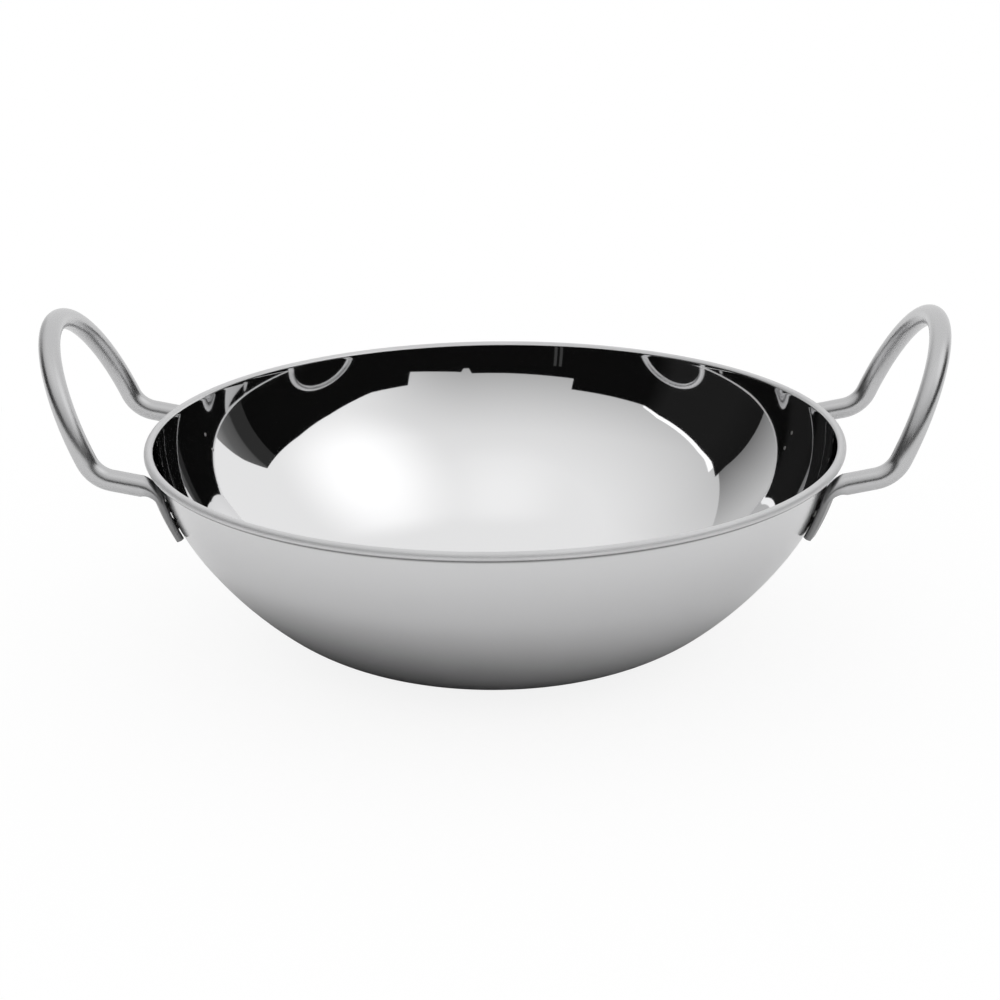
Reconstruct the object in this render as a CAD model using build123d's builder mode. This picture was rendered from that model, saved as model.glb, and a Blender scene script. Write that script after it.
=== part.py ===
from build123d import *
from math import asin, atan2, cos, degrees, radians, sin, sqrt, tan
import os

# Kadai: a polished stainless steel dish with two bent wire handles, in millimetres.
# The origin is at the centre of the underside. +Z is up and the handles lie along X.

# Dish: one pressed sheet with a rounded wall, a corner, a flat base and a curled rim
rim_diameter = 200.0        # across the outside of the curled rim
dish_height = 60.5          # underside of the base to the top of the rim
sheet = 0.5                 # thickness of the steel
rim_lean = 9.3              # degrees from upright, where the wall meets the curl
shoulder_lean = 35.0        # degrees from upright, where the wall's two arcs meet
upper_radius = 65.0         # wall from the curl to the shoulder
lower_radius = 108.0        # wall from the shoulder to the corner
corner_radius = 50.0        # corner between the wall and the base
bead_diameter = 2.6         # outside of the curl
curl_turn = 280.0           # degrees that the sheet turns in the curl

# Handles: round wire, pressed flat where it is welded to the wall
wire_diameter = 6.0
leg_spacing = 66.4          # centre to centre of the two legs, and the width of the round loop
loop_stem = 0.4             # straight wire between the foot bend and the round of the loop
loop_lean = 23.7            # degrees from upright
loop_reach = 10.5           # foot corner outside the centre circle of the curl
foot_drop = 1.3             # foot corner below the centre circle of the curl
foot_bend_radius = 9.3      # centre line of the bend between run and loop
leg_bend_radius = 6.0       # centre line of the bend between run and leg
leg_drop = 19.0             # cut end of the leg below the centre circle of the curl
flat_thickness = 2.2        # pressed leg, out from the wall
flat_width = 10.0           # pressed leg, along the wall
rim_clearance = 0.3         # wire below the curl
guide_shares = (0.25, 0.47, 0.7)    # places between rim and shoulder that the leg's arc goes through

# Spot welds: two to a leg, between the pressed leg and the wall
weld_diameter = 3.6
weld_gap = 0.3              # leg off the wall, filled by the welds
weld_shares = (0.22, 0.67)  # places along the straight part of the leg

# Dish geometry
bead_radius = bead_diameter / 2
curl_inside = bead_radius - sheet
rim_radius = rim_diameter / 2 - bead_radius
rim_height = dish_height - bead_radius
rim_way = Vector(cos(radians(rim_lean)), 0, -sin(radians(rim_lean)))
shoulder_way = Vector(cos(radians(shoulder_lean)), 0, -sin(radians(shoulder_lean)))
upper_centre = Vector(rim_radius, 0, rim_height) - rim_way * (upper_radius + curl_inside)
lower_centre = upper_centre - shoulder_way * (lower_radius - upper_radius)
corner_rise = lower_centre.Z - corner_radius
corner_run = sqrt((lower_radius - corner_radius) ** 2 - corner_rise**2)
corner_lean = degrees(atan2(corner_rise, corner_run))
flat_radius = lower_centre.X + corner_run

# The leg's arc keeps the welds' gap from the wall, in the upright plane of the leg
leg_offset = leg_spacing / 2
leg_plane = Plane.XZ.offset(-leg_offset)
guide_radius = upper_radius + weld_gap + flat_thickness / 2
guide_leans = [radians(rim_lean + (shoulder_lean - rim_lean) * share) for share in guide_shares]
guide_reaches = [upper_centre.X + guide_radius * cos(lean) for lean in guide_leans]
guide_heights = [upper_centre.Z - guide_radius * sin(lean) for lean in guide_leans]
guide_places = zip([sqrt(reach**2 - leg_offset**2) for reach in guide_reaches], guide_heights)
leg_guide = ThreePointArc(*[Vector(along_x, leg_offset, height) for along_x, height in guide_places])
leg_radius = leg_guide.radius
leg_centre = leg_guide.arc_center
leg_tilt = degrees(asin(cos(guide_leans[1]) * leg_offset / guide_reaches[1]))

# Wire route in the same plane
foot_corner = Vector(rim_radius + loop_reach, leg_offset, rim_height - foot_drop)
run_drop = bead_radius + rim_clearance + wire_diameter / 2
under_rim = Vector(sqrt(rim_radius**2 - leg_offset**2), leg_offset, rim_height - run_drop)
run_along = (foot_corner - under_rim).normalized()
run_across = run_along.rotate(Axis.Y, -90)
run_slope = degrees(atan2(run_along.Z, run_along.X))

# The leg bend touches the run above it and the leg beside it
bend_line = foot_corner - run_across * leg_bend_radius - leg_centre
bend_across = bend_line.dot(run_across)
bend_along = sqrt((leg_radius + leg_bend_radius) ** 2 - bend_across**2)
bend_centre = leg_centre + run_across * bend_across + run_along * bend_along
leg_top_angle = -degrees(asin((leg_centre.Z - bend_centre.Z) / (leg_radius + leg_bend_radius)))
leg_end_angle = -degrees(asin((leg_centre.Z - rim_height + leg_drop) / leg_radius))
run_start = bend_centre + run_across * leg_bend_radius
weld_reach = flat_thickness / 2 + weld_gap + sheet / 2

# The loop leans outwards from the foot corner
loop_up = Vector(sin(radians(loop_lean)), 0, cos(radians(loop_lean)))
foot_turn = 90 - loop_lean - run_slope
loop_spring = foot_corner + loop_up * (foot_bend_radius * tan(radians(foot_turn / 2)) + loop_stem)
loop_centre = Vector(loop_spring.X, 0, loop_spring.Z)
loop_plane = Plane(origin=loop_centre, x_dir=(0, 1, 0), z_dir=loop_up.rotate(Axis.Y, 90))


def dish_skin(inset):
    # One face of the sheet, inset from the outside of the dish, from the axis to the end of the curl
    corner_spot = (flat_radius, corner_radius)
    lower_spot = (lower_centre.X, lower_centre.Z)
    upper_spot = (upper_centre.X, upper_centre.Z)
    Line((0, inset), (flat_radius, inset))
    CenterArc(corner_spot, corner_radius - inset, -90, 90 - corner_lean)
    CenterArc(lower_spot, lower_radius - inset, -corner_lean, corner_lean - shoulder_lean)
    CenterArc(upper_spot, upper_radius - inset, -shoulder_lean, shoulder_lean - rim_lean)
    return CenterArc((rim_radius, rim_height), curl_inside + inset, 180 - rim_lean, -curl_turn)


def wire_plane(line, share):
    # A plane across the wire, with its x along the wall of the dish
    place, along = line @ share, line % share
    beside_wall = Vector(0, 1, 0).rotate(Axis(place, along), -leg_tilt)
    return Plane(origin=place, x_dir=beside_wall, z_dir=along)


with BuildPart() as bowl:
    with BuildSketch(Plane.XZ):
        with BuildLine():
            outside = dish_skin(0)
            inside = dish_skin(sheet)
            Line(outside @ 1, inside @ 1)
            Line((0, 0), (0, sheet))
        make_face()
    revolve(axis=Axis.Z)

with BuildPart() as right_handle:
    # Round wire from the leg bend to the top of the loop
    with BuildLine(leg_plane) as run:
        FilletPolyline(run_start, foot_corner, loop_spring, radius=foot_bend_radius)
    with BuildLine(loop_plane):
        CenterArc((0, 0), leg_offset, 0, 90)
    with BuildSketch(wire_plane(run.line, 0)):
        Circle(wire_diameter / 2)
    sweep()
    # The leg bend, where the wire goes from round to pressed flat
    with BuildLine(leg_plane):
        bend_sweep = leg_top_angle + 90 - run_slope
        leg_bend = CenterArc(bend_centre, leg_bend_radius, 90 + run_slope, bend_sweep)
        leg = CenterArc(leg_centre, leg_radius, leg_top_angle, leg_end_angle - leg_top_angle)
    with BuildSketch(wire_plane(leg_bend, 0)):
        Circle(wire_diameter / 2)
    with BuildSketch(wire_plane(leg_bend, 1)):
        SlotOverall(flat_width, flat_thickness)
    sweep(path=leg_bend, multisection=True)
    # The leg, which keeps the same gap from the wall all the way down
    with BuildSketch(wire_plane(leg_bend, 1)):
        SlotOverall(flat_width, flat_thickness)
    revolve(axis=Axis(leg_centre, (0, 1, 0)), revolution_arc=leg_top_angle - leg_end_angle)
    mirror(about=Plane.XZ)

with BuildPart() as left_handle:
    mirror(right_handle.part, about=Plane.YZ)

with BuildPart() as right_handle_welds:
    for share in weld_shares:
        across_leg = wire_plane(leg, share)
        with Locations(Plane(origin=across_leg.origin, z_dir=-across_leg.y_dir)):
            Cylinder(weld_diameter / 2, weld_reach, align=(Align.CENTER, Align.CENTER, Align.MIN))
    mirror(about=Plane.XZ)
    add(bowl.part, mode=Mode.SUBTRACT)
    add(right_handle.part, mode=Mode.SUBTRACT)

with BuildPart() as left_handle_welds:
    mirror(right_handle_welds.part, about=Plane.YZ)

bowl.part.label = "bowl"
right_handle.part.label = "right_handle"
left_handle.part.label = "left_handle"
right_handle_welds.part.label = "right_handle_welds"
left_handle_welds.part.label = "left_handle_welds"

os.makedirs("parts", exist_ok=True)
export_step(bowl.part, "parts/bowl.step")
export_step(right_handle.part, "parts/right_handle.step")
export_step(left_handle.part, "parts/left_handle.step")
export_step(right_handle_welds.part, "parts/right_handle_welds.step")
export_step(left_handle_welds.part, "parts/left_handle_welds.step")
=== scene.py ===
import bpy
import math
from mathutils import Matrix, Vector


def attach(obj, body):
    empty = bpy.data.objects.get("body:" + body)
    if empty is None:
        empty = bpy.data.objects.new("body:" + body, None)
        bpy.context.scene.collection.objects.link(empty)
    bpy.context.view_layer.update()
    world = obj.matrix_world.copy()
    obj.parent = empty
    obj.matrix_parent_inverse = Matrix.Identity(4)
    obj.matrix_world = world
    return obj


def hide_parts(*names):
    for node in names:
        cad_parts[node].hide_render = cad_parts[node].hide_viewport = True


# Kadai: a polished steel dish with two bent wire handles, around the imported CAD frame.
# Sizes are in metres. +Z is up, the handles lie along X, and the camera looks along +Y.

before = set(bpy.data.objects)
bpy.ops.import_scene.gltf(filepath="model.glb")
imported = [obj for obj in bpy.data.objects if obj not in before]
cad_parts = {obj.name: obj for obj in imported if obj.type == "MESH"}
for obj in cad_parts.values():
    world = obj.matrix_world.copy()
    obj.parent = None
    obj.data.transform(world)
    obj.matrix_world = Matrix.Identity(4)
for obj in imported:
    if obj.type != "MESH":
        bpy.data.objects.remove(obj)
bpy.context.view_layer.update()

# Shader and geometry trees: a small wrapper so that sums read as sums

class Flow:
    def __init__(self, graph, socket):
        self.graph = graph
        self.socket = socket

    def __add__(self, other): return self.graph.sum("ADD", self, other)
    def __radd__(self, other): return self.graph.sum("ADD", other, self)
    def __sub__(self, other): return self.graph.sum("SUBTRACT", self, other)
    def __rsub__(self, other): return self.graph.sum("SUBTRACT", other, self)
    def __mul__(self, other): return self.graph.sum("MULTIPLY", self, other)
    def __rmul__(self, other): return self.graph.sum("MULTIPLY", other, self)
    def __truediv__(self, other): return self.graph.sum("DIVIDE", self, other)
    def __rtruediv__(self, other): return self.graph.sum("DIVIDE", other, self)
    def __pow__(self, other): return self.graph.sum("POWER", self, other)


class Graph:
    def __init__(self, tree):
        self.tree = tree

    def node(self, kind, settings=None, inputs=None):
        made = self.tree.nodes.new(kind)
        for name, value in (settings or {}).items():
            setattr(made, name, value)
        for name, value in (inputs or {}).items():
            if isinstance(value, Flow):
                self.tree.links.new(value.socket, made.inputs[name])
            else:
                made.inputs[name].default_value = value
        return made

    def out(self, kind, settings=None, inputs=None, output=0):
        return Flow(self, self.node(kind, settings, inputs).outputs[output])

    def sum(self, operation, *values):
        return self.out("ShaderNodeMath", {"operation": operation}, dict(enumerate(values)))

    def vector(self, operation, *values):
        inputs = {0: values[0], "Scale": values[1]} if operation == "SCALE" else dict(enumerate(values))
        output = "Value" if operation in ("DOT_PRODUCT", "LENGTH", "DISTANCE") else "Vector"
        return self.out("ShaderNodeVectorMath", {"operation": operation}, inputs, output)

    def combine(self, x, y, z):
        return self.out("ShaderNodeCombineXYZ", {}, {0: x, 1: y, 2: z})

    def mix(self, factor, first, second):
        return self.out("ShaderNodeMix", {"data_type": "RGBA"}, {0: factor, 6: first, 7: second}, 2)

    def fade(self, value, low, high, start=0, end=1):
        return self.out("ShaderNodeMapRange", {"interpolation_type": "SMOOTHSTEP"}, {
            "Value": value, "From Min": low, "From Max": high, "To Min": start, "To Max": end,
        })

    def noise(self, place, scale, detail=2):
        return self.out("ShaderNodeTexNoise", {}, {"Vector": place, "Scale": scale, "Detail": detail})

    def attribute(self, name, output="Fac"):
        return self.out("ShaderNodeAttribute", {"attribute_name": name}, {}, output)


def newTree(name, sockets):
    tree = bpy.data.node_groups.new(name, "GeometryNodeTree")
    for label, kind, value in [("Geometry", "Geometry", None)] + sockets:
        socket = tree.interface.new_socket(label, in_out="INPUT", socket_type="NodeSocket" + kind)
        if value is not None:
            socket.default_value = value
    tree.interface.new_socket("Geometry", in_out="OUTPUT", socket_type="NodeSocketGeometry")
    graph = Graph(tree)
    graph.given = {s.name: Flow(graph, s) for s in graph.node("NodeGroupInput").outputs if s.name}
    return graph


def named(graph, name, kind="FLOAT"):
    return graph.out("GeometryNodeInputNamedAttribute", {"data_type": kind}, {"Name": name})


def store(graph, geometry, name, value, kind="FLOAT"):
    return graph.out("GeometryNodeStoreNamedAttribute", {"data_type": kind}, {
        "Geometry": geometry, "Name": name, "Value": value,
    })


def closeTree(graph, geometry):
    real = graph.out("GeometryNodeRealizeInstances", {}, {0: geometry})
    shown = graph.out("GeometryNodeSetMaterial", {}, {
        "Geometry": real, "Material": graph.given["Material"],
    })
    graph.node("NodeGroupOutput", {}, {"Geometry": shown})
    return graph


def grow(name, seed, graph, values):
    # Runs a geometry tree on a seed mesh and keeps its result as a plain mesh
    holder = bpy.data.objects.new(name + "Seed", seed)
    bpy.context.scene.collection.objects.link(holder)
    modifier = holder.modifiers.new("grow", "NODES")
    modifier.node_group = graph.tree
    for item in graph.tree.interface.items_tree:
        if item.in_out == "INPUT" and item.name in values:
            modifier[item.identifier] = values[item.name]
    depsgraph = bpy.context.evaluated_depsgraph_get()
    mesh = bpy.data.meshes.new_from_object(holder.evaluated_get(depsgraph), depsgraph=depsgraph)
    holder.modifiers.remove(modifier)
    bpy.data.objects.remove(holder)
    mesh.name = name
    piece = bpy.data.objects.new(name, mesh)
    bpy.context.scene.collection.objects.link(piece)
    print(name, "has", len(mesh.polygons), "faces")
    return piece


def seedMesh(name, points, edges, attributes):
    mesh = bpy.data.meshes.new(name)
    mesh.from_pydata(points, edges, [])
    for label, (kind, values) in attributes.items():
        field = "vector" if kind == "FLOAT_VECTOR" else "value"
        mesh.attributes.new(label, kind, "POINT").data.foreach_set(field, values)
    return mesh


def newMaterial(name):
    material = bpy.data.materials.new(name)
    material.use_nodes = True
    material.node_tree.nodes.clear()
    return material, Graph(material.node_tree)


def surface(graph, **inputs):
    sockets = {key.replace("_", " "): value for key, value in inputs.items()}
    shader = graph.out("ShaderNodeBsdfPrincipled", {}, sockets)
    graph.node("ShaderNodeOutputMaterial", {}, {"Surface": shader})


# Materials

steel = {
    "inside": (0.80, 0.80, 0.805, 1),
    "outside": (0.64, 0.64, 0.645, 1),
    "bead": (0.7, 0.7, 0.705, 1),
    "insideRough": 0.03,
    "outsideRough": 0.22,
    "beadRough": 0.62,
    "paintedCurlShade": (0.09, 0.09, 0.09, 1),    # painted shade in the crease under the curl
    "paintedCurlShadeHeights": (0.0567, 0.0576, 0.0582, 0.0589),
    "paintedCurlShadeShare": 0.8,
    "wave": 0.00003,            # depth of the slow waviness
    "waveScale": 38,
    "spin": 0.0000006,          # depth of the fine spun lines
    "spinFine": 1500,
    "spinRun": 1.5,
    "spinLessInside": 0.6,
    "cloudScale": 55,
    "sheetWear": (0.8, 0.3, 0.1),   # roughness times this, plus this by cloud and this by spun lines
    "wire": (0.53, 0.53, 0.535, 1),
    "wireRough": 0.28,
    "leg": (0.24, 0.24, 0.242, 1),  # the pressed legs, rougher, and painted darker for the shade they lie in against the wall
    "legRough": 0.4,
    "grain": (9, 9, 60),        # how close the drawn lines lie round the wire, twice, and along it
    "lines": 0.000004,          # depth of the drawn lines
    "wireCloudScale": 160,
    "wireWear": (0.75, 0.3, 0.2),   # roughness times this, plus this by lines and this by cloud
    "weld": (0.42, 0.40, 0.38, 1),
    "weldRough": 0.3,
    "weldCloudScale": 900,
    "weldWear": (0.8, 0.4),     # roughness times this, plus this by cloud
}


def bowlMaterial():
    # Mirror polish inside, bright satin outside, and a duller bead, all with fine lines from the spinning
    material, graph = newMaterial("polishedSheet")
    inside, bead = graph.attribute("inside"), graph.attribute("bead")
    place = graph.out("ShaderNodeTexCoord", {}, {}, "Object")
    parts = graph.node("ShaderNodeSeparateXYZ", {}, {"Vector": place})
    x, y, z = (Flow(graph, parts.outputs[i]) for i in range(3))
    radius = (x * x + y * y) ** 0.5
    ring = graph.combine(radius, z, 0)
    turned = graph.combine(x / (radius + 0.001), y / (radius + 0.001), 0)
    # Fine lines lie round the dish and come and go along their length
    across = graph.vector("SCALE", ring, steel["spinFine"])
    spin = graph.noise(graph.vector("ADD", across, graph.vector("SCALE", turned, steel["spinRun"])), 1, 3)
    wave = graph.noise(place, steel["waveScale"], 1)
    cloud = graph.noise(place, steel["cloudScale"], 4)
    colour = graph.mix(inside, steel["outside"], steel["inside"])
    colour = graph.mix(bead, colour, steel["bead"])
    # Painted shade: a dark band round the crease under the curl, where the curl shades the wall
    low, lowFull, highFull, high = steel["paintedCurlShadeHeights"]
    paintedCurlShade = graph.fade(z, low, lowFull) * graph.fade(z, highFull, high, 1, 0) * (1 - inside * (1 - bead))
    colour = graph.mix(paintedCurlShade * steel["paintedCurlShadeShare"], colour, steel["paintedCurlShade"])
    rough = steel["outsideRough"] + inside * (steel["insideRough"] - steel["outsideRough"])
    rough = rough + bead * (steel["beadRough"] - rough)
    even, byCloud, bySpin = steel["sheetWear"]
    rough = rough * (even + cloud * byCloud + spin * bySpin)
    height = wave * steel["wave"] + spin * steel["spin"] * (1 - inside * steel["spinLessInside"])
    bump = graph.out("ShaderNodeBump", {}, {"Height": height, "Distance": 1, "Strength": 1})
    surface(graph, Base_Color=colour, Metallic=1, Roughness=rough, Normal=bump)
    return material


def wireMaterial():
    # Drawn wire: fine lines along its length, and a cloudy polish
    material, graph = newMaterial("drawnWire")
    grain = graph.attribute("grain", "Vector")
    place = graph.out("ShaderNodeTexCoord", {}, {}, "Object")
    flat = graph.attribute("flat")
    lines = graph.noise(graph.vector("MULTIPLY", grain, steel["grain"]), 1, 3)
    cloud = graph.noise(place, steel["wireCloudScale"], 3)
    rough = steel["wireRough"] + flat * (steel["legRough"] - steel["wireRough"])
    even, byLines, byCloud = steel["wireWear"]
    rough = rough * (even + lines * byLines + cloud * byCloud)
    # Painted shade: the pressed legs get a darker colour for the shade they lie in against the wall
    colour = graph.mix(flat, steel["wire"], steel["leg"])
    bump = graph.out("ShaderNodeBump", {}, {"Height": lines * steel["lines"], "Distance": 1, "Strength": 1})
    surface(graph, Base_Color=colour, Metallic=1, Roughness=rough, Normal=bump)
    return material


def weldMaterial():
    # Bare spot welds, a little darker from the heat
    material, graph = newMaterial("spotWeld")
    place = graph.out("ShaderNodeTexCoord", {}, {}, "Object")
    cloud = graph.noise(place, steel["weldCloudScale"], 3)
    colour = graph.mix(cloud, steel["weld"], steel["wire"])
    even, byCloud = steel["weldWear"]
    surface(graph, Base_Color=colour, Metallic=1, Roughness=steel["weldRough"] * (even + cloud * byCloud))
    return material


# Dish: a profile turned round Z

dish = {
    "rimRadius": 0.0987,        # centre circle of the curl
    "rimHeight": 0.0592,
    "beadRadius": 0.0013,       # outside of the curl
    "sheet": 0.0005,
    "rimLean": 9.3,             # degrees from upright, where the wall meets the curl
    "shoulderLean": 35,         # degrees from upright, where the wall's two arcs meet
    "upperRadius": 0.065,       # wall from the curl to the shoulder
    "lowerRadius": 0.108,       # wall from the shoulder to the corner
    "cornerRadius": 0.05,
    "curlTurn": 280,            # degrees
    "segments": 256,            # round the dish
    "underSteps": (6, 22, 22, 26, 14),  # along the flat, the corner, the wall's two arcs and the curl
    "overSteps": (10, 30, 36, 44, 46),
    "polishEnd": 1 / 8,         # share of the curl where the mirror polish fades out
    "weldPoints": 1e-7,         # points closer than this are one
}


def arc(centre, radius, start, turn, count):
    angles = [math.radians(start + turn * step / count) for step in range(count + 1)]
    return [(centre[0] + radius * math.cos(a), centre[1] + radius * math.sin(a)) for a in angles]


def downward(lean):
    # Straight out of the wall where it leans this much, as (radius, height)
    return Vector((math.cos(lean), -math.sin(lean)))


def circleThrough(a, b, c):
    first, second = b - a, c - b
    along, beyond = first.dot(a + b) / 2, second.dot(b + c) / 2
    cross = first.x * second.y - first.y * second.x
    centre = Vector((along * second.y - beyond * first.y, beyond * first.x - along * second.x)) / cross
    return centre, (centre - a).length


rimLean, shoulderLean = math.radians(dish["rimLean"]), math.radians(dish["shoulderLean"])
curlInside = dish["beadRadius"] - dish["sheet"]
curlCentre = Vector((dish["rimRadius"], dish["rimHeight"]))
upperCentre = curlCentre - downward(rimLean) * (dish["upperRadius"] + curlInside)
lowerCentre = upperCentre - downward(shoulderLean) * (dish["lowerRadius"] - dish["upperRadius"])


def dishSkin(inset, steps):
    # One face of the sheet, from the axis to the end of the curl, as (radius, height, share of bead)
    rise = lowerCentre.y - dish["cornerRadius"]
    run = math.sqrt((dish["lowerRadius"] - dish["cornerRadius"]) ** 2 - rise ** 2)
    cornerLean = math.degrees(math.atan2(rise, run))
    flatRadius = lowerCentre.x + run
    shoulder, rim = dish["shoulderLean"], dish["rimLean"]
    sheet = [(flatRadius * step / steps[0], inset) for step in range(steps[0])]
    for centre, radius, start, end, count in (
        ((flatRadius, dish["cornerRadius"]), dish["cornerRadius"], 90, cornerLean, steps[1]),
        (lowerCentre, dish["lowerRadius"], cornerLean, shoulder, steps[2]),
        (upperCentre, dish["upperRadius"], shoulder, rim, steps[3]),
    ):
        sheet += arc(centre, radius - inset, -start, start - end, count)[:-1]
    bead = arc(curlCentre, curlInside + inset, 180 - rim, -dish["curlTurn"], steps[4])
    shares = [min(1, i / (steps[4] * dish["polishEnd"])) for i in range(len(bead))]
    return [(r, z, 0) for r, z in sheet] + [(r, z, share) for (r, z), share in zip(bead, shares)]


def dishProfile():
    under = dishSkin(0, dish["underSteps"])
    over = dishSkin(dish["sheet"], dish["overSteps"])
    points = under + over[::-1]
    edges = [(i, i + 1) for i in range(len(points) - 1)]
    return seedMesh("dishProfile", [(r, 0, z) for r, z, bead in points], edges, {
        "inside": ("FLOAT", [0.0] * len(under) + [1.0] * len(over)),
        "bead": ("FLOAT", [bead for r, z, bead in points]),
    })


def latheTree():
    # The profile's points become the columns of a grid, and its rows go round Z
    graph = newTree("lathe", [("Segments", "Int", 64), ("Material", "Material", None)])
    rows = graph.given["Segments"] + 1
    profile = graph.out("GeometryNodeMeshToCurve", {}, {0: graph.given["Geometry"]})
    size = graph.node("GeometryNodeAttributeDomainSize", {"component": "CURVE"}, {0: profile})
    count = Flow(graph, size.outputs["Point Count"])
    grid = graph.out("GeometryNodeMeshGrid", {}, {"Vertices X": count, "Vertices Y": rows})
    index = graph.out("GeometryNodeInputIndex")
    column = graph.sum("FLOOR", index / rows)

    def sampled(value, kind="FLOAT"):
        return graph.out("GeometryNodeSampleIndex", {"data_type": kind}, {
            0: profile, "Value": value, "Index": column,
        })

    place = sampled(graph.out("GeometryNodeInputPosition"), "FLOAT_VECTOR")
    turn = graph.combine(0, 0, (index - column * rows) * math.tau / graph.given["Segments"])
    placed = graph.out("ShaderNodeVectorRotate", {"rotation_type": "EULER_XYZ"}, {
        "Vector": place, "Rotation": turn,
    })
    skin = graph.out("GeometryNodeSetPosition", {}, {"Geometry": grid, "Position": placed})
    for name in ("inside", "bead"):
        skin = store(graph, skin, name, sampled(named(graph, name)))
    skin = graph.out("GeometryNodeMergeByDistance", {}, {"Geometry": skin, "Distance": dish["weldPoints"]})
    return closeTree(graph, graph.out("GeometryNodeSetShadeSmooth", {}, {0: skin}))


def makeBowl():
    values = {"Segments": dish["segments"], "Material": bowlMaterial()}
    bowl = grow("polishedBowl", dishProfile(), latheTree(), values)
    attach(bowl, "root")
    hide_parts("bowl")


# Handles: the wire's route, then a sweep that is pressed flat along the legs

wire = {
    "radius": 0.003,
    "legOffset": 0.0332,        # half the distance between the two legs
    "loopStem": 0.0004,
    "loopLean": 23.7,           # degrees from upright
    "loopReach": 0.0105,        # foot corner outside the curl's centre circle
    "footDrop": 0.0013,         # foot corner below it
    "footBend": 0.0093,         # radius
    "legBend": 0.006,           # radius
    "legDrop": 0.019,           # cut end of the leg below the curl's centre circle
    "guideShares": (0.25, 0.47, 0.7),   # places between rim and shoulder on the leg's arc
    "flatHalf": 0.0011,         # half the thickness of the pressed leg
    "flatWide": 5 / 3,          # the pressed leg's width over the round wire's
    "flatPress": 0.6,           # how far the round is squeezed before it is cut level
    "rimGap": 0.0003,           # wire below the curl
    "sides": 48,                # round the wire
    "step": 0.0007,             # along the wire
    "sharpEdge": 50,            # degrees, where shading breaks at the cut ends
}

weld = {
    "shares": (0.22, 0.67),     # places along the pressed leg
    "gap": 0.0003,              # leg off the wall
    "radius": 0.0018,
    "sink": 0.0001,             # into the leg and the wall
    "markRadius": 0.0006,       # the mark that shows inside the dish
    "markProud": 0.00004,
    "sides": 24,
}


def wireRoute():
    # Points (place, across, flat) from the cut end of one leg to the top of the loop, and the leg's places
    offset = wire["legOffset"]
    leans = [rimLean + (shoulderLean - rimLean) * share for share in wire["guideShares"]]
    guideRadius = dish["upperRadius"] + weld["gap"] + wire["flatHalf"]
    guides = [upperCentre + downward(lean) * guideRadius for lean in leans]
    guidePlaces = [Vector((math.sqrt(p.x ** 2 - offset ** 2), p.y)) for p in guides]
    legCentre, legRadius = circleThrough(*guidePlaces)
    tilt = math.asin(math.cos(leans[1]) * offset / guides[1].x)
    corner = Vector((dish["rimRadius"] + wire["loopReach"], dish["rimHeight"] - wire["footDrop"]))
    drop = dish["beadRadius"] + wire["rimGap"] + wire["radius"]
    under = Vector((math.sqrt(dish["rimRadius"] ** 2 - offset ** 2), dish["rimHeight"] - drop))
    along = (corner - under).normalized()
    across = Vector((-along.y, along.x))
    slope = math.atan2(along.y, along.x)
    # The leg bend touches the run above it and the leg beside it
    line = corner - across * wire["legBend"] - legCentre
    rise = line.dot(across)
    reach = math.sqrt((legRadius + wire["legBend"]) ** 2 - rise ** 2)
    bendCentre = legCentre + across * rise + along * reach
    top = -math.asin((legCentre.y - bendCentre.y) / (legRadius + wire["legBend"]))
    end = -math.asin((legCentre.y - dish["rimHeight"] + wire["legDrop"]) / legRadius)
    lean = math.radians(wire["loopLean"])
    up = Vector((math.sin(lean), math.cos(lean)))
    footTurn = math.pi / 2 - lean - slope
    tangent = wire["footBend"] * math.tan(footTurn / 2)
    footStart = corner - along * tangent
    footCentre = footStart + across * wire["footBend"]
    spring = corner + up * (tangent + wire["loopStem"])

    def steps(length):
        return max(2, round(length / wire["step"]))

    def tilted(inPlane):
        return Vector((-inPlane.x * math.cos(tilt), math.sin(tilt), -inPlane.y * math.cos(tilt)))

    def turn(centre, radius, start, turned):
        count = steps(radius * abs(turned))
        angles = [start + turned * i / count for i in range(count)]
        spokes = [Vector((math.cos(a), math.sin(a))) for a in angles]
        return [(centre + spoke * radius, spoke, i / count) for i, spoke in enumerate(spokes)]

    def legPlace(angle):
        spoke = Vector((math.cos(angle), math.sin(angle)))
        point = legCentre + spoke * legRadius
        return Vector((point.x, offset, point.y)), tilted(-spoke)

    count = steps(legRadius * (top - end))
    route = [(*legPlace(end + (top - end) * i / count), 1) for i in range(count)]
    for point, spoke, share in turn(bendCentre, wire["legBend"], math.pi + top, slope - math.pi / 2 - top):
        route.append((Vector((point.x, offset, point.y)), tilted(spoke), 1 - share))
    level = tilted(across)
    start = bendCentre + across * wire["legBend"]
    straight = steps((footStart - start).length)
    flat = [start.lerp(footStart, i / straight) for i in range(straight)]
    foot = turn(footCentre, wire["footBend"], slope - math.pi / 2, footTurn)
    flat += [point for point, spoke, share in foot]
    flat.append(corner + up * tangent)
    route += [(Vector((point.x, offset, point.y)), level, 0) for point in flat]
    count = steps(offset * math.pi / 2)
    for i in range(count + 1):
        a = math.pi / 2 * i / count
        point = spring + up * (offset * math.sin(a))
        route.append((Vector((point.x, offset * math.cos(a), point.y)), level, 0))
    return route, [legPlace(top + (end - top) * share) for share in weld["shares"]]


halfRoute, weldPlaces = wireRoute()


def wireMesh(side):
    # The whole route of one handle, with what the sweep needs at each point
    far = [(p * Vector((1, -1, 1)), o * Vector((1, -1, 1)), f) for p, o, f in halfRoute[-2::-1]]
    points = [(p * Vector((side, 1, 1)), o * Vector((side, 1, 1)), f) for p, o, f in halfRoute + far]
    edges = [(i, i + 1) for i in range(len(points) - 1)]
    return seedMesh("wireRoute", [p for p, o, f in points], edges, {
        "across": ("FLOAT_VECTOR", [c for p, o, f in points for c in o]),
        "flat": ("FLOAT", [float(f) for p, o, f in points]),
    })


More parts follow.
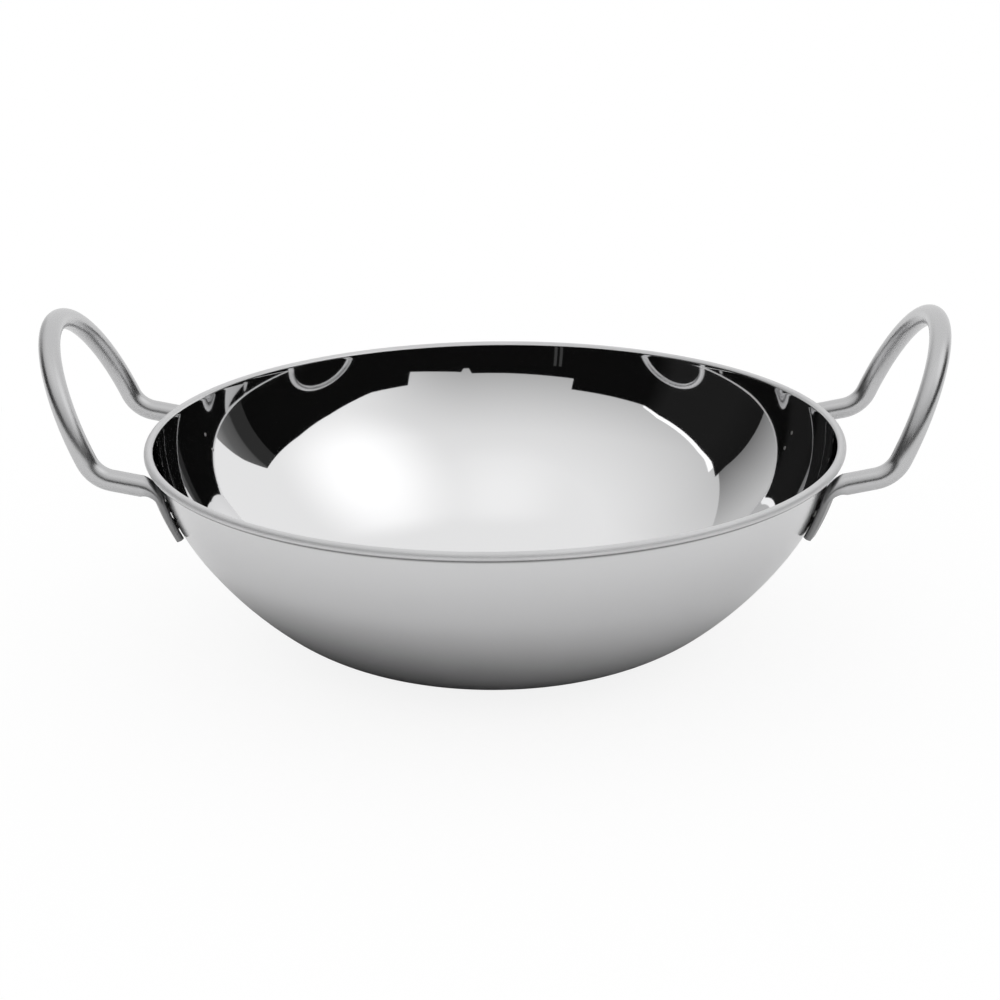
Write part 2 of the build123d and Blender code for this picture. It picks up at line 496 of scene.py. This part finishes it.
def wireTree():
    graph = newTree("pressedWire", [
        ("Wire radius", "Float", 0.003),
        ("Flat half", "Float", 0.0011),
        ("Flat wide", "Float", 1.5),
        ("Flat press", "Float", 0.6),
        ("Sides", "Int", 32),
        ("Sharp edge", "Float", 1.0),
        ("Material", "Material", None),
    ])
    given = graph.given
    position = graph.out("GeometryNodeInputPosition")
    route = graph.out("GeometryNodeMeshToCurve", {}, {0: given["Geometry"]})
    route = store(graph, route, "middle", position, "FLOAT_VECTOR")
    route = store(graph, route, "along", graph.out("GeometryNodeSplineParameter", {}, {}, "Length"))
    ring = graph.out("GeometryNodeCurvePrimitiveCircle", {"mode": "RADIUS"}, {
        "Radius": given["Wire radius"], "Resolution": given["Sides"],
    })
    spoke = graph.vector("SCALE", position, 1 / given["Wire radius"])
    ring = store(graph, ring, "spoke", spoke, "FLOAT_VECTOR")
    tube = graph.out("GeometryNodeCurveToMesh", {}, {
        "Curve": route, "Profile Curve": ring, "Fill Caps": True,
    })
    # The round wire is squeezed and cut level across, and widens along the wall
    middle, across = named(graph, "middle", "FLOAT_VECTOR"), named(graph, "across", "FLOAT_VECTOR")
    flat = named(graph, "flat")
    spoke = graph.vector("SUBTRACT", position, middle)
    depth = graph.vector("DOT_PRODUCT", spoke, across)
    beside = graph.vector("SUBTRACT", spoke, graph.vector("SCALE", across, depth))
    half = given["Wire radius"] + flat * (given["Flat half"] - given["Wire radius"])
    pressed = depth * (1 - flat * (1 - given["Flat press"]))
    pressed = graph.sum("MAXIMUM", graph.sum("MINIMUM", pressed, half), half * -1)
    wide = 1 + flat * (given["Flat wide"] - 1)
    squeezed, widened = graph.vector("SCALE", across, pressed), graph.vector("SCALE", beside, wide)
    placed = graph.vector("ADD", squeezed, widened)
    along = graph.combine(0, 0, named(graph, "along"))
    grain = graph.vector("ADD", named(graph, "spoke", "FLOAT_VECTOR"), along)
    tube = store(graph, tube, "grain", grain, "FLOAT_VECTOR")
    tube = graph.out("GeometryNodeSetPosition", {}, {
        "Geometry": tube, "Position": graph.vector("ADD", middle, placed),
    })
    tube = graph.out("GeometryNodeSetShadeSmooth", {}, {0: tube})
    bent = graph.sum("GREATER_THAN", graph.out("GeometryNodeInputMeshEdgeAngle"), given["Sharp edge"])
    tube = graph.out("GeometryNodeSetShadeSmooth", {"domain": "EDGE"}, {
        0: tube, "Selection": bent, "Shade Smooth": False,
    })
    return closeTree(graph, tube)


def makeHandles():
    tree = wireTree()
    values = {
        "Wire radius": wire["radius"], "Flat half": wire["flatHalf"], "Flat wide": wire["flatWide"],
        "Flat press": wire["flatPress"], "Sides": wire["sides"],
        "Sharp edge": math.radians(wire["sharpEdge"]), "Material": wireMaterial(),
    }
    for name, node, side in (("leftWire", "left_handle", -1), ("rightWire", "right_handle", 1)):
        handle = grow(name, wireMesh(side), tree, values)
        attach(handle, "root")
        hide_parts(node)


# Spot welds: a nugget between leg and wall, and the faint mark of each one inside the dish

def weldMesh(side):
    points, ways, sizes = [], [], []
    toWall = wire["flatHalf"] + weld["gap"]
    depths = toWall - weld["gap"] / 2, toWall + dish["sheet"]
    for place, across in weldPlaces:
        for end in (-1, 1):
            flip = Vector((side, end, 1))
            points += [(place - across * depth) * flip for depth in depths]
            ways += [across * flip, across * flip]
            sizes += [weld["radius"], weld["radius"], weld["gap"] / 2 + weld["sink"]]
            sizes += [weld["markRadius"], weld["markRadius"], weld["markProud"]]
    return seedMesh("weldPlaces", points, [], {
        "way": ("FLOAT_VECTOR", [c for way in ways for c in way]),
        "size": ("FLOAT_VECTOR", sizes),
    })


def weldTree():
    graph = newTree("spotWelds", [("Sides", "Int", 16), ("Material", "Material", None)])
    nugget = graph.out("GeometryNodeMeshUVSphere", {}, {
        "Segments": graph.given["Sides"], "Rings": graph.given["Sides"] / 2, "Radius": 1,
    })
    way = named(graph, "way", "FLOAT_VECTOR")
    turned = graph.out("FunctionNodeAlignRotationToVector", {"axis": "Z"}, {"Vector": way})
    copies = graph.out("GeometryNodeInstanceOnPoints", {}, {
        "Points": graph.given["Geometry"], "Instance": nugget, "Rotation": turned,
        "Scale": named(graph, "size", "FLOAT_VECTOR"),
    })
    real = graph.out("GeometryNodeRealizeInstances", {}, {0: copies})
    return closeTree(graph, graph.out("GeometryNodeSetShadeSmooth", {}, {0: real}))


def makeWelds():
    tree = weldTree()
    values = {"Sides": weld["sides"], "Material": weldMaterial()}
    sides = ("leftWelds", "left_handle_welds", -1), ("rightWelds", "right_handle_welds", 1)
    for name, node, side in sides:
        spots = grow(name, weldMesh(side), tree, values)
        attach(spots, "root")
        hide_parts(node)


# Studio

studio = {
    "floor": (0.96, 0.96, 0.96, 1),
    "floorHalf": 6.0,
    "nearShare": 0.85,          # share of plain white that the camera sees under the dish
    "seenFar": 0.3,             # where that share reaches 1
    "clearNear": 0.1,           # from here to clearFar the steel sees the floor fade to plain white
    "clearFar": 0.6,
    "shadeCentre": (-0.008, 0, 0),
    "shadeNear": 0.038,         # from here to shadeFar the steel sees the floor less and less shaded
    "shadeFar": 0.098,
    "shadeLeast": 0.04,
    "daylight": 1.0,            # the dome on matt surfaces
    "cardRadius": 4.0,
    "cardStep": 2,              # degrees along a card between its points
    "dome": 0.955,              # the dome in the steel
    "domeDip": 0.825,           # how much darker it is at the horizon, in front
    "dipTop": 0.884,            # height of the way up where that ends
    "dipMost": 0.5,
    "dipTurn": -50,             # degrees from the front towards +X, where it is darkest
    "dipInner": 58,             # degrees to each side where it is fully dark
    "dipOuter": 118,
}

# Soft lamps in the dome, seen by the steel alone. Turn is degrees from the front towards +X, rise is
# degrees up, and inner and outer are how far from the middle the glow starts to fade and where it ends.
lamps = [
    {"turn": 79, "rise": 51, "glow": 0.33, "inner": 5, "outer": 31},
    {"turn": -5, "rise": 75, "glow": 0.1, "inner": 2, "outer": 22},
]

# Plain cards that only reflections show. Each has a few points along it:
# (degrees from the front towards +X, lowest degrees up, highest degrees up, brightness)
cards = {
    "leftScreen": [
        (-111, 0, 31, 0.01), (-96, 0, 31, 0.014), (-68, 0, 28, 0.014), (-60, 0, 26, 0.004),
        (-29, 0, 26, 0.004),
    ],
    "middleScreen": [
        (-29, 0, 20, 0.004), (10, 0, 19, 0.004), (11, 0, 16, 0.004), (13, 0, 16, 0.004), (14, 0, 18, 0.004),
        (33, 0, 15, 0.004),
    ],
    "rightScreen": [
        (33, 0, 15, 0.004), (35, 0, 22, 0.004), (50, 0, 22, 0.004), (70, 0, 26, 0.004), (88, 0, 28, 0.004),
        (104, 0, 28, 0.004),
    ],
    "rightFlap": [
        (104, 0, 28, 0.03), (111, 0, 28, 0.03), (112, 0, 28, 0.09), (117, 0, 19, 0.13), (122, 0, 7, 0.3),
    ],
    "greyCard": [(-150, 0, 30, 0.7), (-133, 0, 30, 0.6), (-111, 0, 30, 0.2)],
    "whiteStrip": [(-107, 31, 32.5, 1.3), (-96, 31, 32.5, 1.3), (-68, 28, 29.5, 1.3), (-60, 26, 27, 1.2)],
    "greyBar": [(-24, 4, 14, 0.05), (-20, 4, 14, 0.05)],
}


def addStage(name, points, faces, material):
    mesh = bpy.data.meshes.new(name)
    mesh.from_pydata(points, [], faces)
    mesh.materials.append(material)
    thing = bpy.data.objects.new(name, mesh)
    bpy.context.scene.collection.objects.link(thing)
    return thing


def lightPath(graph):
    path = graph.node("ShaderNodeLightPath")
    names = "Is Camera Ray", "Is Glossy Ray", "Is Transmission Ray"
    return [Flow(graph, path.outputs[name]) for name in names]


def makeFloor():
    # Matt white, fading to plain white away from the dish, where nothing shades it
    material, graph = newMaterial("paleFloor")
    camera, glossy, through = lightPath(graph)
    place = graph.out("ShaderNodeTexCoord", {}, {}, "Object")
    away, under = graph.vector("LENGTH", place), graph.vector("DISTANCE", place, studio["shadeCentre"])
    seen = graph.fade(away, 0, studio["seenFar"], studio["nearShare"], 1)
    reflected = graph.fade(away, studio["clearNear"], studio["clearFar"])
    shade = graph.fade(under, studio["shadeNear"], studio["shadeFar"], studio["shadeLeast"], 1)
    colour = graph.mix(1 - glossy * (1 - shade), (0, 0, 0, 1), studio["floor"])
    matt = graph.out("ShaderNodeBsdfDiffuse", {}, {"Color": colour})
    white = graph.out("ShaderNodeEmission", {}, {"Color": (1, 1, 1, 1), "Strength": 1})
    plain = seen * (camera + through) + reflected * glossy
    shown = graph.out("ShaderNodeMixShader", {}, {0: plain, 1: matt, 2: white})
    graph.node("ShaderNodeOutputMaterial", {}, {"Surface": shown})
    half = studio["floorHalf"]
    corners = [(-half, -half, 0), (half, -half, 0), (half, half, 0), (-half, half, 0)]
    addStage("floor", corners, [(0, 1, 2, 3)], material)


def cardMaterial():
    material, graph = newMaterial("studioCard")
    shade = graph.attribute("shade")
    glow = graph.out("ShaderNodeEmission", {}, {"Color": graph.combine(shade, shade, shade), "Strength": 1})
    graph.node("ShaderNodeOutputMaterial", {}, {"Surface": glow})
    return material


def makeCards():
    # Screens on a ring round the set, seen only in the steel
    material = cardMaterial()
    radius = studio["cardRadius"]
    for name, edge in cards.items():
        steps = []
        for start, end in zip(edge, edge[1:]):
            count = max(1, round((end[0] - start[0]) / studio["cardStep"]))
            steps += [[s + (e - s) * i / count for s, e in zip(start, end)] for i in range(count)]
        steps.append(edge[-1])
        points, shades = [], []
        for turn, low, high, shade in steps:
            x, y = radius * math.sin(math.radians(turn)), -radius * math.cos(math.radians(turn))
            for rise in (low, high):
                points.append((x, y, dish["rimHeight"] + radius * math.tan(math.radians(rise))))
                shades.append(float(shade))
        faces = [(2 * i, 2 * i + 2, 2 * i + 3, 2 * i + 1) for i in range(len(steps) - 1)]
        card = addStage(name, points, faces, material)
        card.data.attributes.new("shade", "FLOAT", "POINT").data.foreach_set("value", shades)
        card.visible_camera = card.visible_diffuse = card.visible_shadow = False


def aim(turn, rise=0):
    turn, rise = math.radians(turn), math.radians(rise)
    return math.sin(turn) * math.cos(rise), -math.cos(turn) * math.cos(rise), math.sin(rise)


def makeWorld():
    # An even white dome, which the steel sees with a soft lamp in it and darker low down in front
    world = bpy.data.worlds.new("studio")
    bpy.context.scene.world = world
    world.use_nodes = True
    world.node_tree.nodes.clear()
    graph = Graph(world.node_tree)
    camera, glossy, through = lightPath(graph)
    way = graph.out("ShaderNodeTexCoord", {}, {}, "Generated")
    height = Flow(graph, graph.node("ShaderNodeSeparateXYZ", {}, {"Vector": way}).outputs[2])
    level = graph.vector("NORMALIZE", graph.vector("MULTIPLY", way, (1, 1, 0)))
    front = graph.vector("DOT_PRODUCT", level, aim(studio["dipTurn"]))
    edges = [math.cos(math.radians(studio[edge])) for edge in ("dipOuter", "dipInner")]
    share = graph.fade(front, *edges)
    dip = graph.sum("MAXIMUM", (studio["dipTop"] - height) * studio["domeDip"], 0)
    dip = graph.sum("MINIMUM", dip, studio["dipMost"])
    steelSees = studio["dome"] - dip * share
    for lamp in lamps:
        away = graph.sum("ARCCOSINE", graph.vector("DOT_PRODUCT", way, aim(lamp["turn"], lamp["rise"])))
        edges = math.radians(lamp["inner"]), math.radians(lamp["outer"])
        steelSees = steelSees + graph.fade(away, *edges, lamp["glow"], 0)
    plain = studio["daylight"] + (camera + through) * (1 - studio["daylight"])
    strength = plain + glossy * (steelSees - plain)
    back = graph.out("ShaderNodeBackground", {}, {"Color": (1, 1, 1, 1), "Strength": strength})
    graph.node("ShaderNodeOutputWorld", {}, {"Surface": back})


# The photograph's camera, in degrees and in pixels of its 1000 by 1000 frame
photoCamera = {
    "lens": 76.43,              # millimetres on a sensor 36 wide
    "sensor": 36,
    "elevation": 17.562,
    "distance": 6.1973,         # in radii of the curl's centre circle, from the middle of the rim
    "focal": 2123.2,            # pixels
    "middle": (495.683, 434.943),   # where the middle of the rim shows
    "frameMiddle": 500,
    "turn": 1.438,              # round Z
    "roll": -0.6056,
}


def makeCamera():
    data = bpy.data.cameras.new("camera")
    data.lens = photoCamera["lens"]
    data.sensor_width = photoCamera["sensor"]
    camera = bpy.data.objects.new("camera", data)
    bpy.context.scene.collection.objects.link(camera)
    elevation, roll = math.radians(photoCamera["elevation"]), math.radians(photoCamera["roll"])
    distance = photoCamera["distance"] * dish["rimRadius"]
    frameMiddle, focal = photoCamera["frameMiddle"], photoCamera["focal"]
    offX, offY = [(side - frameMiddle) / focal for side in photoCamera["middle"]]
    back = Vector((0, -math.cos(elevation), math.sin(elevation)))
    right = Vector((1, 0, 0))
    up = right.cross(-back)
    ahead = (-back - right * offX + up * offY).normalized()
    right = ahead.cross(up).normalized()
    up = right.cross(ahead)
    turned = right * math.cos(roll) + up * math.sin(roll)
    upright = up * math.cos(roll) - right * math.sin(roll)
    spin = Matrix.Rotation(math.radians(photoCamera["turn"]), 3, "Z")
    place = spin @ (back * distance) + Vector((0, 0, dish["rimHeight"]))
    axes = Matrix((spin @ turned, spin @ upright, spin @ -ahead)).transposed()
    camera.matrix_world = Matrix.Translation(place) @ axes.to_4x4()
    bpy.context.scene.camera = camera


print("dish")
makeBowl()
print("handles")
makeHandles()
print("welds")
makeWelds()
print("studio")
makeFloor()
makeCards()
makeWorld()
makeCamera()

bpy.context.scene.view_settings.view_transform = "Standard"
